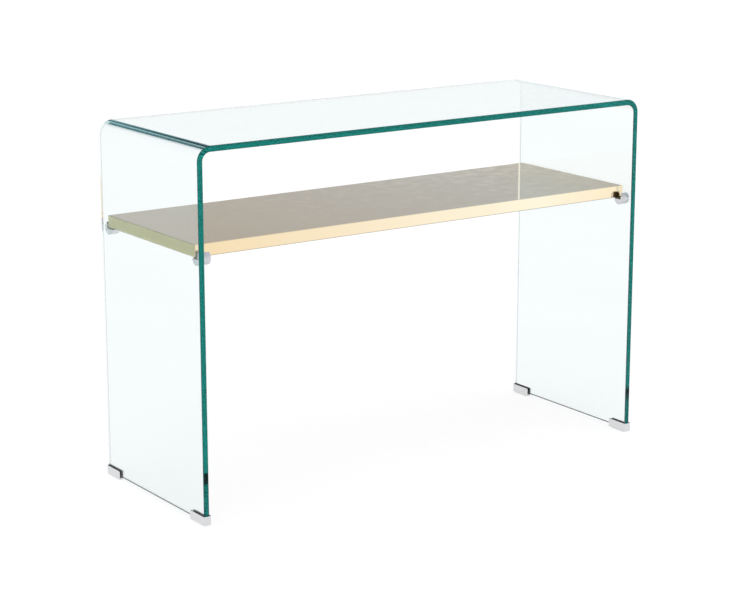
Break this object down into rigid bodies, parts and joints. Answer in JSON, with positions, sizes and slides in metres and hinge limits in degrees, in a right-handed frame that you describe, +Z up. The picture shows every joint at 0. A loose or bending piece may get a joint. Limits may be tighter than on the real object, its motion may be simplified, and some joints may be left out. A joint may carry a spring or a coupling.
{
  "type": "console table",
  "caption": "Waterfall console table: one sheet of clear glass bent into an upside-down U, metal corner shoes, and a mirror-gold shelf resting on notched round supports.",
  "frame": {"origin": "on the floor under the middle of the table: the middle of the bounding box's bottom face", "axes": "+X along the length, to the right seen from the front; -Y towards the front, +Y towards the wall; +Z up"},
  "size_m": [1.1056, 0.4018, 0.75],
  "materials": {
    "glass": "clear tempered glass, polished edges with a fine arris",
    "gold": "mirror-polished champagne gold",
    "board": "raw medium-density fibreboard",
    "backing": "matt dark laminate",
    "support_chrome": "polished chrome",
    "shoe_chrome": "satin chrome",
    "bond": "clear cured adhesive",
    "cushion": "soft matt black",
    "liner": "soft matt black",
    "pad": "matt dark grey"
  },
  "bodies": {
    "table": {"bent_glass_panel": "glass", "support_front_left": "support_chrome", "support_front_right": "support_chrome", "support_back_left": "support_chrome", "support_back_right": "support_chrome", "support_bond_front_left": "bond", "support_bond_front_right": "bond", "support_bond_back_left": "bond", "support_bond_back_right": "bond", "support_cushion_front_left": "cushion", "support_cushion_front_right": "cushion", "support_cushion_back_left": "cushion", "support_cushion_back_right": "cushion", "foot_shoe_front_left": "shoe_chrome", "foot_shoe_front_right": "shoe_chrome", "foot_shoe_back_left": "shoe_chrome", "foot_shoe_back_right": "shoe_chrome", "foot_liner_front_left": "liner", "foot_liner_front_right": "liner", "foot_liner_back_left": "liner", "foot_liner_back_right": "liner", "foot_pad_front_left": "pad", "foot_pad_front_right": "pad", "foot_pad_back_left": "pad", "foot_pad_back_right": "pad"},
    "shelf": {"shelf_gold_tray": "gold", "shelf_core_board": "board", "shelf_backing_sheet": "backing"}
  },
  "joints": [
    {"name": "shelf_lift", "type": "slide", "parent": "table", "child": "shelf", "axis": [0, 0, 1], "range_m": [0, 0.15]}
  ]
}
